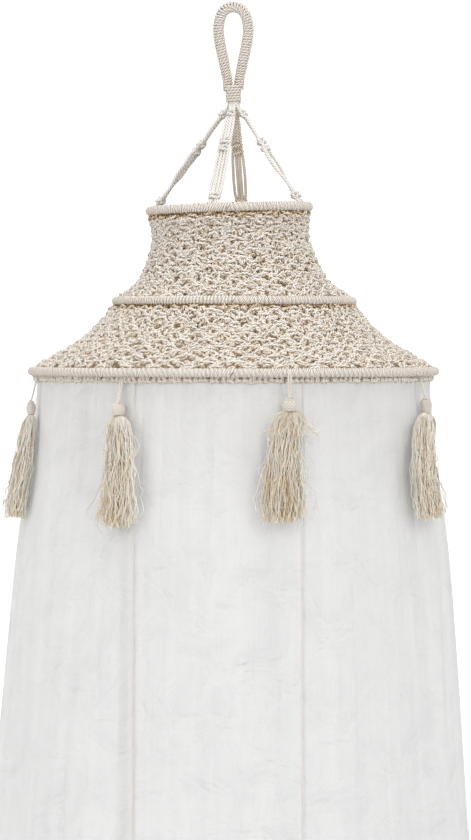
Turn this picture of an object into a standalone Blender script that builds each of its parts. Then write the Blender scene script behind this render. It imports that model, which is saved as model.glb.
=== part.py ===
"""Mosquito net canopy: a wound rope loop, four knotted straps, three wound hoops with a
knotted cord crown between them, a sheer net in two widths, and seven tassels.

Metres, +Z up, front towards -Y. The origin is where a hook carries the loop, at its inner top.
Angles are degrees round the canopy from the front, positive towards +X.
"""
import math
import random

import bmesh
import bpy
from mathutils import Vector

GAP = 0.0003                # between pieces that touch
CORD_COLOUR = (0.72, 0.65, 0.57)
YARN_COLOUR = (0.62, 0.53, 0.41)
NET_COLOUR = (0.84, 0.83, 0.81)

# Hanging loop, its binding and the straps
ROPE_RADIUS = 0.0068
ROPE_FOOT_RADIUS = 0.0059
ROPE_TURNS = 44
TURN_GROOVE = 0.87          # radius between two turns, as a share of the radius on a turn
LOOP_FOOT = -0.0905
LOOP_SIDE = (               # centreline of the right-hand leg, from the top down: x, z
    (0.0000, 0.0070),
    (0.0125, 0.0015),
    (0.0180, -0.0160),
    (0.0168, -0.0350),
    (0.0128, -0.0530),
    (0.0088, -0.0720),
    (0.0064, -0.0830),
)
NECK_RADIUS = 0.0095
NECK_HEIGHT = 0.0200
NECK_TURNS = 7
NECK_SIDES = 10
STRAP_ANGLES = {"strap_front": -12, "strap_right": 66, "strap_back": 171, "strap_left": -105}
STRAP_START_RADIUS = 0.0062
STRAP_CORD_RADIUS = 0.0020
STRAP_HALF_WIDTH = 0.0060   # middle cord to outer cord, where the strap lies flat
STRAP_STOPS = (             # place along the strap, share of that width there
    (0.00, 0.42), (0.24, 0.85), (0.65, 1.00))
STRAP_KNOTS = (             # place along the strap, share of the width that the knot spans
    (0.10, 0.60), (0.38, 1.00), (0.46, 1.00), (0.93, 1.00))
KNOT_LENGTH = 0.0100
KNOT_FLATNESS = 0.6
KNOT_SIDES = 6
KNOT_SECTIONS = (           # place along a strap's knot, swell: two bumps with a waist
    (-0.50, 0.62), (-0.22, 1.0), (0.0, 0.80), (0.22, 1.0), (0.50, 0.62))

# Hoops: centreline radius, tube radius, height, sideways shift, tilt in degrees, segments
HOOPS = {
    "top_ring": dict(radius=0.0968, tube=0.0057, z=-0.2393, shift=-0.0050, tilt=1.7, steps=40),
    "middle_ring": dict(radius=0.1437, tube=0.0057, z=-0.3515, shift=0.0010, tilt=0.0, steps=48),
    "bottom_ring": dict(radius=0.2453, tube=0.0055, z=-0.4368, shift=0.0, tilt=0.0, steps=56),
}
EDGING_RADIUS = 0.0042
EDGING_INSET = 0.0062       # the net's weight draws the edging in under the hoop
FLAT_SIDE = 0.924           # six-sided tubes touch nearer than their radii say
EDGING_KNOTS = 28

# Knotted bands: radius and height of the wall's middle, from the upper hoop to the lower one
WALL = 0.0034
KNOT_HEIGHT = 0.0022
UPPER_BAND = dict(columns=13, rows=7, first_open=3, opening=0.38, profile=(
    (0.0928, -0.2580), (0.0916, -0.2690), (0.0924, -0.2807), (0.0955, -0.2893),
    (0.1003, -0.3040), (0.1053, -0.3150), (0.1120, -0.3270), (0.1225, -0.3375)))
LOWER_BAND = dict(columns=20, rows=6, first_open=1, opening=0.38, profile=(
    (0.1500, -0.3650), (0.1600, -0.3775), (0.1735, -0.3915), (0.1875, -0.4030),
    (0.2025, -0.4125), (0.2180, -0.4207)))

# Net: radius of the outer face and height, a row for each section, from hoop to hem
NET_THICKNESS = 0.0016
NET_PROFILE = (
    (0.2392, -0.4475), (0.2390, -0.4630), (0.2410, -0.4830), (0.2468, -0.5570), (0.2580, -0.6300),
    (0.2690, -0.7600), (0.2840, -0.9800), (0.3040, -1.3000), (0.3280, -1.7000), (0.3470, -2.0200),
    (0.3620, -2.2850))
NET_SEAM_X = 0.0806         # the sewn seam and the opening's edges hang plumb at these x
FRONT_EDGE_X = -0.1330
WRAP_EDGE_X = -0.1150
OVERLAP_SINK = 0.0028       # the front width passes this far under the other one
OVERLAP_BLEND = 5.0         # degrees in which it comes back to the surface
FRONT_COLUMNS = 12
WRAP_COLUMNS = 62
FOLD_RISE = 0.2             # how much a fold lifts the cloth, for its own height
# Folds: angle at the hoop and at the hem, half-width, height at the hem, z where it starts
NET_FOLDS = (
    dict(top=-47, hem=-51, half=6.5, high=0.024, start=-0.56),
    dict(top=-32, hem=-38, half=5.5, high=0.020, start=-0.52),
    dict(top=6, hem=-5, half=7.5, high=0.017, start=-0.60),
    dict(top=32, hem=25, half=7.5, high=0.022, start=-0.56),
    dict(top=72, hem=60, half=8.0, high=0.027, start=-0.48),
    dict(top=98, hem=101, half=8.0, high=0.024, start=-0.60),
    dict(top=133, hem=137, half=10.0, high=0.031, start=-0.55),
    dict(top=170, hem=165, half=8.0, high=0.022, start=-0.62),
    dict(top=205, hem=207, half=11.0, high=0.029, start=-0.55),
    dict(top=243, hem=241, half=7.5, high=0.021, start=-0.66),
    dict(top=276, hem=278, half=8.5, high=0.026, start=-0.50),
)

# Tassels: angle, height of the head's top, length and swing of the skirt
TASSELS = (
    dict(angle=-76, top=-0.4713, skirt=0.1235, swing=-0.002),
    dict(angle=-32.4, top=-0.4716, skirt=0.1285, swing=0.010),
    dict(angle=15, top=-0.4650, skirt=0.1270, swing=-0.005),
    dict(angle=66.3, top=-0.4674, skirt=0.1255, swing=-0.022),
    dict(angle=120, top=-0.4700, skirt=0.1265, swing=-0.003),
    dict(angle=174, top=-0.4720, skirt=0.1275, swing=0.002),
    dict(angle=229, top=-0.4690, skirt=0.1250, swing=0.000),
)
HEAD_RADIUS = 0.0083
HEAD_HEIGHT = 0.0175
HEAD_SIDES = 10
HEAD_PROFILE = (            # share of the radius, share of the height down from the top
    (0.0, 0.0), (0.50, 0.05), (0.92, 0.30), (1.0, 0.55), (0.86, 0.85), (0.80, 1.0))
CORE_SHARE = 0.52           # the inner locks' root circle, as a share of the outer rim
HEAD_OUT = 0.2513           # distance of a head's middle from the axis
SKIRT_OUT = 0.0190          # how much further out the skirt's end lies, leaning on the net
SKIRT_HALF_WIDTH = 0.0235
SKIRT_HALF_DEPTH = 0.0120
SKIRT_STOPS = (             # place along the skirt, share of its width, width of a lock there
    (0.16, 0.78, 0.0032), (1.0, 1.0, 0.0040))
TASSEL_CORD_RADIUS = 0.0017
SEED = 7


def material(name, colour, roughness, alpha=1.0):
    """A Principled material; the same name gives the same material again."""
    made = bpy.data.materials.get(name) or bpy.data.materials.new(name)
    made.use_nodes = True
    shader = made.node_tree.nodes["Principled BSDF"]
    shader.inputs["Base Color"].default_value = (*colour, 1.0)
    shader.inputs["Roughness"].default_value = roughness
    shader.inputs["Metallic"].default_value = 0.0
    shader.inputs["Alpha"].default_value = alpha
    return made


def add_mesh(name, mesh, finish):
    """Link a mesh object that carries one material."""
    mesh.materials.clear()
    mesh.materials.append(finish)
    thing = bpy.data.objects.new(name, mesh)
    bpy.context.collection.objects.link(thing)
    return thing


def mesh_from(bm, name):
    """Turn a bmesh into a smooth-shaded mesh."""
    mesh = bpy.data.meshes.new(name)
    bm.to_mesh(mesh)
    bm.free()
    mesh.shade_smooth()
    return mesh


def around(angle, radius, z):
    """A point at an angle round the axis."""
    turn = math.radians(angle)
    return Vector((radius * math.sin(turn), -radius * math.cos(turn), z))


def even_path(points, count):
    """Evenly spaced points on a smooth curve through the given ones."""
    points = [Vector(p) for p in points]
    ends = [points[0] * 2 - points[1]] + points + [points[-1] * 2 - points[-2]]
    fine = []
    for a, b, c, d in zip(ends, ends[1:], ends[2:], ends[3:]):
        for k in range(12):
            t = k / 12
            fine.append(0.5 * (2 * b + (c - a) * t + (2 * a - 5 * b + 4 * c - d) * t * t
                               + (3 * b - a - 3 * c + d) * t ** 3))
    fine.append(points[-1])
    reach = [0.0]
    for a, b in zip(fine, fine[1:]):
        reach.append(reach[-1] + (b - a).length)
    path, leg = [], 0
    for k in range(count):
        goal = reach[-1] * k / (count - 1)
        while leg < len(fine) - 2 and reach[leg + 1] < goal:
            leg += 1
        share = (goal - reach[leg]) / (reach[leg + 1] - reach[leg])
        path.append(fine[leg].lerp(fine[leg + 1], min(max(share, 0.0), 1.0)))
    return path


def tube(name, path, radius, finish, shares=None, resolution=1, closed=False):
    """A curve with a round bevel; shares scale its radius at each point."""
    curve = bpy.data.curves.new(name, "CURVE")
    curve.dimensions = "3D"
    curve.bevel_depth = radius
    curve.bevel_resolution = resolution
    curve.use_fill_caps = True
    spline = curve.splines.new("POLY")
    spline.points.add(len(path) - 1)
    spline.use_cyclic_u = closed
    for k, point in enumerate(path):
        spline.points[k].co = (*point, 1.0)
        spline.points[k].radius = shares[k] if shares else 1.0
    curve.materials.append(finish)
    thing = bpy.data.objects.new(name, curve)
    bpy.context.collection.objects.link(thing)
    return thing


def as_mesh(thing, finish):
    """Replace a curve by the mesh that it makes."""
    bpy.context.view_layer.update()
    evaluated = thing.evaluated_get(bpy.context.evaluated_depsgraph_get())
    mesh = bpy.data.meshes.new_from_object(evaluated)
    bpy.data.objects.remove(thing)
    bm = bmesh.new()
    bm.from_mesh(mesh)
    bmesh.ops.remove_doubles(bm, verts=bm.verts, dist=0.00001)
    bmesh.ops.recalc_face_normals(bm, faces=bm.faces)
    return add_mesh("cord", mesh_from(bm, "cord"), finish)


def fuse(name, pieces, finish):
    """Join crossing solids into one with Boolean unions."""
    body = pieces[0]
    for other in pieces[1:]:
        union = body.modifiers.new("union", "BOOLEAN")
        union.operation = "UNION"
        union.solver = "EXACT"
        union.object = other
    bpy.context.view_layer.update()
    evaluated = body.evaluated_get(bpy.context.evaluated_depsgraph_get())
    mesh = bpy.data.meshes.new_from_object(evaluated)
    for piece in pieces:
        bpy.data.objects.remove(piece)
    mesh.shade_smooth()
    return add_mesh(name, mesh, finish)


def hanging_loop(finish):
    """The rope bent double, its winding raised as one ridge for each turn."""
    foot = (ROPE_FOOT_RADIUS + GAP / 2, LOOP_FOOT)
    right = [(x, 0.0, z) for x, z in (*LOOP_SIDE, foot)]
    left = [(-x, y, z) for x, y, z in right[:0:-1]]
    path = even_path(left + right, 2 * ROPE_TURNS + 1)
    shares = []
    for k, point in enumerate(path):
        slim = min(max((point.z - LOOP_FOOT) / 0.045, 0.0), 1.0)
        full = ROPE_FOOT_RADIUS / ROPE_RADIUS
        share = full + (1.0 - full) * slim
        shares.append(share * (1.0 if k % 2 else TURN_GROOVE))
    tube("hanging_loop", path, ROPE_RADIUS, finish, shares)


def neck_binding(finish):
    """A turned collar with one ridge for each turn of its winding."""
    top = LOOP_FOOT - GAP
    bm = bmesh.new()
    turn_height = NECK_HEIGHT / NECK_TURNS
    profile = [(0.0, top)]
    for k in range(NECK_TURNS):
        profile.append((NECK_RADIUS * TURN_GROOVE, top - k * turn_height))
        profile.append((NECK_RADIUS, top - (k + 0.5) * turn_height))
    profile.append((NECK_RADIUS * TURN_GROOVE, top - NECK_HEIGHT))
    profile.append((0.0, top - NECK_HEIGHT))
    verts = [bm.verts.new((r, 0.0, z)) for r, z in profile]
    edges = [bm.edges.new(pair) for pair in zip(verts, verts[1:])]
    bmesh.ops.spin(bm, geom=verts + edges, axis=(0, 0, 1), cent=(0, 0, 0),
                   angle=2 * math.pi, steps=NECK_SIDES, use_merge=True)
    bmesh.ops.remove_doubles(bm, verts=bm.verts, dist=0.00001)
    bmesh.ops.recalc_face_normals(bm, faces=bm.faces)
    add_mesh("neck_binding", mesh_from(bm, "neck_binding"), finish)


def knot(centre, along, across, half_width, finish):
    """A ridged lump round the cords: two bumps with a waist between them."""
    through = along.cross(across).normalized()
    bm = bmesh.new()
    rings = []
    for place, swell in KNOT_SECTIONS:
        ring = []
        for k in range(KNOT_SIDES):
            turn = 2 * math.pi * k / KNOT_SIDES
            side = across * math.cos(turn) + through * math.sin(turn) * KNOT_FLATNESS
            ring.append(bm.verts.new(centre + along * place * KNOT_LENGTH + side * half_width * swell))
        rings.append(ring)
    for one, two in zip(rings, rings[1:]):
        for k in range(KNOT_SIDES):
            after = (k + 1) % KNOT_SIDES
            bm.faces.new((one[k], one[after], two[after], two[k]))
    bm.faces.new(rings[0])
    bm.faces.new(rings[-1])
    bmesh.ops.recalc_face_normals(bm, faces=bm.faces)
    return add_mesh("knot", mesh_from(bm, "knot"), finish)


def hoop_point(hoop, angle):
    """A point on a hoop's centreline."""
    point = around(angle, hoop["radius"], 0.0)
    slope = math.tan(math.radians(hoop["tilt"]))
    return Vector((point.x + hoop["shift"], point.y, hoop["z"] + point.x * slope))


def strap(name, angle, finish):
    """Three cords side by side, drawn together at the neck and fused at the knots."""
    hoop = HOOPS["top_ring"]
    neck = around(angle, STRAP_START_RADIUS, LOOP_FOOT - NECK_HEIGHT - 2 * GAP)
    start = neck + around(angle, 0.0006, -0.0030)       # the cords leave the neck almost plumb
    along = (hoop_point(hoop, angle) - start).normalized()
    rise = along * (hoop["tube"] + 2 * GAP)
    end = hoop_point(hoop, angle) - rise
    across = around(angle + 90, 1.0, 0.0)
    pieces = []
    for place, width in STRAP_KNOTS:
        half = STRAP_CORD_RADIUS + STRAP_HALF_WIDTH * width
        pieces.append(knot(start.lerp(end, place), along, across, half, finish))
    for side in (-1, 0, 1):
        offset = across * side * STRAP_HALF_WIDTH
        path = [neck + offset * STRAP_STOPS[0][1]]
        path += [start.lerp(end, place) + offset * width for place, width in STRAP_STOPS]
        turn = math.degrees(side * STRAP_HALF_WIDTH / hoop["radius"])
        path.append(hoop_point(hoop, angle + turn) - rise)
        cord = tube("cord", path, STRAP_CORD_RADIUS, finish, resolution=0)
        pieces.append(as_mesh(cord, finish))
    fuse(name, pieces, finish)


def hoop_ring(name, hoop, finish):
    """A wound hoop, as a torus."""
    bpy.ops.mesh.primitive_torus_add(
        major_radius=hoop["radius"], minor_radius=hoop["tube"],
        major_segments=hoop["steps"], minor_segments=6,
        location=(hoop["shift"], 0.0, hoop["z"]), rotation=(0.0, -math.radians(hoop["tilt"]), 0.0))
    ring = bpy.context.object
    ring.name = name
    ring.data.name = name
    ring.data.materials.append(finish)
    ring.data.shade_smooth()


def edging_place():
    """Radius and height of the edging's middle, against the bottom hoop's lower inner side."""
    hoop = HOOPS["bottom_ring"]
    reach = (hoop["tube"] + EDGING_RADIUS) * FLAT_SIDE
    return hoop["radius"] - EDGING_INSET, hoop["z"] - math.sqrt(reach ** 2 - EDGING_INSET ** 2)


def ring_edging(finish):
    """The row of knots under the bottom hoop, a ridge for each group of knots."""
    radius, height = edging_place()
    count = 2 * EDGING_KNOTS
    path, shares = [], []
    for k in range(count):
        path.append(around(360 * k / count, radius, height))
        shares.append(1.0 if k % 2 else 0.86)
    tube("ring_edging", path, EDGING_RADIUS, finish, shares, closed=True)


def band_profile(band, upper, lower):
    """The wall's section from hoop to hoop, its ends seated on the two tubes."""
    rows = [Vector((r, 0.0, z)) for r, z in band["profile"]]
    first = Vector((upper["radius"], 0.0, upper["z"]))
    last = Vector((lower["radius"], 0.0, lower["z"]))
    head = first + (rows[0] - first).normalized() * (upper["tube"] + 2 * GAP)
    foot = last + (rows[-1] - last).normalized() * (lower["tube"] + 2 * GAP)
    return even_path([head, *rows, foot], 8 * band["rows"] + 1)


def knotted_band(name, band, upper, lower, finish):
    """A wall of alternating knots on a diamond lattice, open between its lower knots.

    Lattice points with an even sum of column and row are knots; the others are the middles
    of the diamonds between four knots.
    """
    section = band_profile(band, upper, lower)
    columns, rows = 2 * band["columns"], band["rows"]
    bm = bmesh.new()
    made = {}

    def corner(column, row, lift=0.0):
        key = (round(column % columns, 3), round(row, 3))
        if key not in made:
            place = row / rows * (len(section) - 1)
            low = min(int(place), len(section) - 2)
            middle = section[low].lerp(section[low + 1], place - low)
            run = (section[low + 1] - section[low]).normalized()
            middle = middle + Vector((-run.z, 0.0, run.x)) * lift
            share = row / rows
            flat = around(360 * column / columns, middle.x, 0.0)
            shift = upper["shift"] * (1 - share) + lower["shift"] * share
            slope = math.tan(math.radians(upper["tilt"])) * (1 - share)
            made[key] = bm.verts.new((flat.x + shift, flat.y, middle.z + flat.x * slope))
        return made[key]

    def knot_corner(column, row):
        return corner(column, row, KNOT_HEIGHT if 0 < row < rows else 0.0)

    for row in range(rows + 1):
        for column in range(columns):
            if (column + row) % 2 == 0:
                continue
            west, east = knot_corner(column - 1, row), knot_corner(column + 1, row)
            if row == 0:
                south, middle = knot_corner(column, 1), corner(column, 0)
                faces = ((west, south, middle), (middle, south, east))
            elif row == rows:
                north, middle = knot_corner(column, row - 1), corner(column, row)
                faces = ((west, middle, north), (middle, east, north))
            else:
                ring = (west, knot_corner(column, row + 1), east, knot_corner(column, row - 1))
                if row < band["first_open"]:
                    middle = corner(column, row)
                    faces = [(ring[k], ring[(k + 1) % 4], middle) for k in range(4)]
                else:
                    size = band["opening"]
                    hole = (corner(column - size, row), corner(column, row + size),
                            corner(column + size, row), corner(column, row - size))
                    faces = [(ring[k], ring[(k + 1) % 4], hole[(k + 1) % 4], hole[k])
                             for k in range(4)]
            for face in faces:
                bm.faces.new(face)
    wall = add_mesh(name, mesh_from(bm, name), finish)
    solid = wall.modifiers.new("cord thickness", "SOLIDIFY")
    solid.thickness = WALL
    solid.offset = 0.0


def smooth_step(share):
    """0 to 1 with soft ends."""
    share = min(max(share, 0.0), 1.0)
    return share * share * (3 - 2 * share)


def net_radius(angle, base, z):
    """Radius of the net's outer face with its folds."""
    hem = NET_PROFILE[-1][1]
    radius = base
    for fold in NET_FOLDS:
        if z >= fold["start"]:
            continue
        fall = (fold["start"] - z) / (fold["start"] - hem)      # 0 at its start, 1 at the hem
        centre = fold["top"] + (fold["hem"] - fold["top"]) * smooth_step(1.6 * fall)
        away = (angle - centre + 180) % 360 - 180
        radius += fold["high"] * fall ** 0.8 * math.exp(-(away / fold["half"]) ** 2)
    return radius


def edge_angle(x, radius):
    """Angle at which a plumb line at x meets the net."""
    return math.degrees(math.asin(x / radius))


def net_width(name, first_x, last_x, columns, finish, sink_to=None):
    """One width of cloth from first_x round to last_x; it may pass under another edge."""
    bm = bmesh.new()
    rows = []
    for base, z in NET_PROFILE:
        first, last = edge_angle(first_x, base), edge_angle(last_x, base)
        if last < first:
            last += 360
        row = []
        for k in range(columns + 1):
            angle = first + (last - first) * k / columns
            radius = net_radius(angle, base, z)
            if sink_to is not None:
                past = (angle - edge_angle(sink_to, base) - 1.0) / OVERLAP_BLEND
                radius -= OVERLAP_SINK * (1 - smooth_step(past))
            row.append(bm.verts.new(around(angle, radius, z + FOLD_RISE * max(radius - base, 0.0))))
        rows.append(row)
    for upper, lower in zip(rows, rows[1:]):
        for k in range(columns):
            bm.faces.new((upper[k], lower[k], lower[k + 1], upper[k + 1]))
    cloth = add_mesh(name, mesh_from(bm, name), finish)
    solid = cloth.modifiers.new("cloth thickness", "SOLIDIFY")
    solid.thickness = NET_THICKNESS
    solid.offset = -1.0


def tassel(name, spec, finish, rng):
    """A wound head with locks of yarn drawn out of the faces under it.

    Modelled with its head's top at the origin and outward along -Y, then placed.
    """
    bm = bmesh.new()
    verts = [bm.verts.new((r * HEAD_RADIUS, 0.0, -down * HEAD_HEIGHT)) for r, down in HEAD_PROFILE]
    edges = [bm.edges.new(pair) for pair in zip(verts, verts[1:])]
    bmesh.ops.spin(bm, geom=verts + edges, axis=(0, 0, 1), cent=(0, 0, 0),
                   angle=2 * math.pi, steps=HEAD_SIDES, use_merge=True)
    bmesh.ops.remove_doubles(bm, verts=bm.verts, dist=0.00001)
    floor = -HEAD_HEIGHT
    rim = sorted((v for v in bm.verts if abs(v.co.z - floor) < 0.00001),
                 key=lambda v: math.atan2(v.co.y, v.co.x))
    inner = [bm.verts.new((v.co.x * CORE_SHARE, v.co.y * CORE_SHARE, floor)) for v in rim]
    middle = bm.verts.new((0.0, 0.0, floor))
    roots = []
    for k in range(HEAD_SIDES):
        after = (k + 1) % HEAD_SIDES
        roots.append(bm.faces.new((rim[k], rim[after], inner[after], inner[k])))
    for k in range(0, HEAD_SIDES, 2):
        roots.append(bm.faces.new((inner[k], inner[k + 1], inner[(k + 2) % HEAD_SIDES], middle)))
    bmesh.ops.recalc_face_normals(bm, faces=bm.faces)
    bmesh.ops.inset_individual(bm, faces=roots, thickness=0.0003, depth=0.0, use_even_offset=True)
    for root in roots:
        draw_lock(bm, root, spec, rng)
    mesh = mesh_from(bm, name)
    thing = add_mesh(name, mesh, finish)
    thing.location = around(spec["angle"], HEAD_OUT, spec["top"])
    thing.rotation_euler = (0.0, 0.0, math.radians(spec["angle"]))


def draw_lock(bm, root, spec, rng):
    """Extrude one lock from its root face: out to the bulge, then down to its end."""
    centre = root.calc_center_median()
    spread = centre / (HEAD_RADIUS * HEAD_PROFILE[-1][0])
    length = spec["skirt"] + rng.uniform(-0.006, 0.004)
    sway = rng.uniform(-0.0006, 0.0006)
    face = root
    for share, full, width in SKIRT_STOPS:
        face = bmesh.ops.extrude_discrete_faces(bm, faces=[face])["faces"][0]
        goal = Vector((
            spread.x * SKIRT_HALF_WIDTH * full + (spec["swing"] + sway) * share,
            spread.y * SKIRT_HALF_DEPTH * full - SKIRT_OUT * share,
            -HEAD_HEIGHT - length * share))
        old = face.calc_center_median()
        for k, vert in enumerate(face.verts):
            turn = math.atan2(vert.co.y - old.y, vert.co.x - old.x)
            vert.co = goal + Vector((math.cos(turn), math.sin(turn), 0.0)) * width / 2


def tassel_cord(name, spec, finish):
    """The short cord from the edging down to a tassel's head."""
    radius, height = edging_place()
    head = around(spec["angle"], HEAD_OUT, spec["top"] + GAP)
    top = around(spec["angle"], radius + (EDGING_RADIUS + TASSEL_CORD_RADIUS) * FLAT_SIDE, height)
    path = [top, top.lerp(head, 0.5), head]
    tube(name, path, TASSEL_CORD_RADIUS, finish)


def build():
    """Make every piece."""
    for thing in list(bpy.data.objects):
        bpy.data.objects.remove(thing)
    cord = material("natural cotton cord", CORD_COLOUR, 0.9)
    yarn = material("tassel yarn", YARN_COLOUR, 0.95)
    muslin = material("sheer muslin", NET_COLOUR, 0.9, alpha=0.8)
    hanging_loop(cord)
    neck_binding(cord)
    for name, angle in STRAP_ANGLES.items():
        strap(name, angle, cord)
    for name, hoop in HOOPS.items():
        hoop_ring(name, hoop, cord)
    ring_edging(cord)
    knotted_band("crown_upper", UPPER_BAND, HOOPS["top_ring"], HOOPS["middle_ring"], cord)
    knotted_band("crown_lower", LOWER_BAND, HOOPS["middle_ring"], HOOPS["bottom_ring"], cord)
    net_width("net_front", FRONT_EDGE_X, NET_SEAM_X - GAP / 2, FRONT_COLUMNS, muslin, WRAP_EDGE_X)
    net_width("net_wrap", NET_SEAM_X + GAP / 2, WRAP_EDGE_X, WRAP_COLUMNS, muslin)
    rng = random.Random(SEED)
    for k, spec in enumerate(TASSELS, 1):
        tassel(f"tassel_{k}", spec, yarn, rng)
        tassel_cord(f"tassel_cord_{k}", spec, cord)


build()
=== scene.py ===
# Mosquito net canopy: wound hoops and loop, knotted crown, sheer net and tassels.
# Metres, +Z up, front towards -Y. Angles are degrees round the canopy from the front, + to the right.
import math
import random
from types import SimpleNamespace

import bmesh
import bpy
import numpy as np
from mathutils import Matrix, Vector
from mathutils.kdtree import KDTree


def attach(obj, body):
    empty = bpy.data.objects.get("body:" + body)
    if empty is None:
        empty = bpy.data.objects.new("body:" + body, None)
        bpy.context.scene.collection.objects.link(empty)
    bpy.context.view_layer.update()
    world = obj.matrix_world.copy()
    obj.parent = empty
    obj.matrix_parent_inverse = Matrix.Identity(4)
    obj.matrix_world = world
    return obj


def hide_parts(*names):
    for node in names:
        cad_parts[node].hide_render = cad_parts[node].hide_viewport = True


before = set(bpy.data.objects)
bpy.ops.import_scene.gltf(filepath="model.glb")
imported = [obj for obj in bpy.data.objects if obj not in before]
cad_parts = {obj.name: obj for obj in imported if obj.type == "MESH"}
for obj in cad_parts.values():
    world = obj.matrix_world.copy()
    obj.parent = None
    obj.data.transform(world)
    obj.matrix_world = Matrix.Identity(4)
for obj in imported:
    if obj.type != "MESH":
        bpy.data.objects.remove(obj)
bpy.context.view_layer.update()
fullTurn = 2 * math.pi
print("solids loaded:", len(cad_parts))


class Settings(dict):
    # a dictionary whose entries are read by their names
    __getattr__ = dict.__getitem__


class Value:
    # what a node gives out, so that sums in a tree read as sums
    def __init__(self, nodes, socket):
        self.nodes, self.socket = nodes, socket

    def op(self, operation, *others):
        return self.nodes.out("ShaderNodeMath", dict(enumerate((self, *others))), operation=operation)

    def __add__(self, other):
        return self.op("ADD", other)

    def __sub__(self, other):
        return self.op("SUBTRACT", other)

    def __rsub__(self, other):
        return self * -1.0 + other

    def __mul__(self, other):
        return self.op("MULTIPLY", other)

    def __truediv__(self, other):
        return self.op("DIVIDE", other)


class Arrow(Value):
    # the same for vectors, which are multiplied by one number or by one for each axis
    def op(self, operation, *others):
        output = "Value" if operation in ("DOT_PRODUCT", "LENGTH") else 0
        return self.nodes.out("ShaderNodeVectorMath", dict(enumerate((self, *others))), output, operation=operation)

    def __mul__(self, other):
        if isinstance(other, tuple):
            return self.op("MULTIPLY", other)
        return self.nodes.out("ShaderNodeVectorMath", {0: self, "Scale": other}, operation="SCALE")

    def xyz(self):
        return [Value(self.nodes, part) for part in self.nodes.add("ShaderNodeSeparateXYZ", {0: self}).outputs]


class Nodes:
    # a node tree with short calls for what is added often
    def __init__(self, tree):
        self.tree = tree

    def put(self, value, socket):
        value = getattr(value, "socket", value)
        if isinstance(value, bpy.types.NodeSocket):
            self.tree.links.new(value, socket)
        elif value is not None:
            socket.default_value = value

    def add(self, kind, inputs=None, **settings):
        node = self.tree.nodes.new(kind)
        for key, value in settings.items():
            setattr(node, key, value)
        for key, value in (inputs or {}).items():
            self.put(value, node.inputs[key])
        return node

    def out(self, kind, inputs=None, output=0, **settings):
        socket = self.add(kind, inputs, **settings).outputs[output]
        return (Arrow if socket.type in ("VECTOR", "RGBA") else Value)(self, socket)

    def geo(self, kind, inputs=None, output=0, **settings):
        return self.out("GeometryNode" + kind, inputs, output, **settings)

    def vector(self, x, y=0.0, z=0.0):
        return self.out("ShaderNodeCombineXYZ", {0: x, 1: y, 2: z})

    def noise(self, place, scale, detail, output="Fac", **more):
        return self.out("ShaderNodeTexNoise", {"Vector": place, "Scale": scale, "Detail": detail, **more}, output)

    def attribute(self, name, output="Fac"):
        return self.out("ShaderNodeAttribute", None, output, attribute_name=name)

    def named(self, name, kind="FLOAT"):
        return self.geo("InputNamedAttribute", {"Name": name}, data_type=kind)

    def store(self, geometry, name, value, domain="POINT"):
        kind = "FLOAT_VECTOR" if isinstance(value, Arrow) else "FLOAT"
        return self.geo("StoreNamedAttribute", {"Geometry": geometry, "Name": name, "Value": value},
                        data_type=kind, domain=domain)

    def mixed(self, share, a, b, blend="MIX"):
        return self.out("ShaderNodeMix", {0: share, 6: a, 7: b}, 2, data_type="RGBA", blend_type=blend)

    def bump(self, height, distance, under=None):
        return self.out("ShaderNodeBump", {"Height": height, "Distance": distance, "Strength": 1.0, "Normal": under})


def newTree(name, **inputs):
    # each input by its name, with a number to start from or the kind of thing it takes
    tree = bpy.data.node_groups.new(name, "GeometryNodeTree")
    tree.interface.new_socket("geometry", in_out="INPUT", socket_type="NodeSocketGeometry")
    for label, start in inputs.items():
        kind = start if isinstance(start, str) else {int: "Int", float: "Float"}[type(start)]
        socket = tree.interface.new_socket(label, in_out="INPUT", socket_type="NodeSocket" + kind)
        if kind != start:
            socket.default_value = start
    tree.interface.new_socket("geometry", in_out="OUTPUT", socket_type="NodeSocketGeometry")
    nodes = Nodes(tree)
    given = {socket.name: Value(nodes, socket) for socket in nodes.add("NodeGroupInput").outputs if socket.name}
    return nodes, SimpleNamespace(**given)


def closeTree(nodes, geometry, finish):
    # every tree ends with plain smooth faces that carry their material
    real = nodes.geo("RealizeInstances", {"Geometry": geometry})
    smooth = nodes.geo("SetShadeSmooth", {"Geometry": real})
    painted = nodes.geo("SetMaterial", {"Geometry": smooth, "Material": finish})
    nodes.add("NodeGroupOutput", {0: painted})
    return nodes.tree


def runTree(host, tree, name, **values):
    # sets the inputs by identifier, evaluates once and keeps the result as a plain mesh
    modifier = host.modifiers.new(tree.name, "NODES")
    modifier.node_group = tree
    for item in tree.interface.items_tree:
        if item.in_out == "INPUT" and item.name in values:
            modifier[item.identifier] = values[item.name]
    bpy.context.view_layer.update()
    evaluated = host.evaluated_get(bpy.context.evaluated_depsgraph_get())
    mesh = bpy.data.meshes.new_from_object(evaluated)
    bpy.data.objects.remove(host)
    mesh.name = name
    return linked(name, mesh)


def linked(name, thing):
    made = bpy.data.objects.new(name, thing)
    bpy.context.scene.collection.objects.link(made)
    return made


def joined(name, parts):
    with bpy.context.temp_override(active_object=parts[0], selected_editable_objects=parts):
        bpy.ops.object.join()
    parts[0].name = name
    parts[0].data.name = name
    return parts[0]


def settle(piece, node):
    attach(piece, "root")
    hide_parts(node)


def mark(mesh, name, values, kind="FLOAT"):
    # stores a number or a vector at every point
    mesh.attributes.new(name, kind, "POINT").data.foreach_set("value" if kind == "FLOAT" else "vector", values)


def clipped(share):
    return np.clip(share, 0.0, 1.0)


def smoothStep(share):
    return clipped(share) ** 2 * (3 - 2 * clipped(share))


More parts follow.
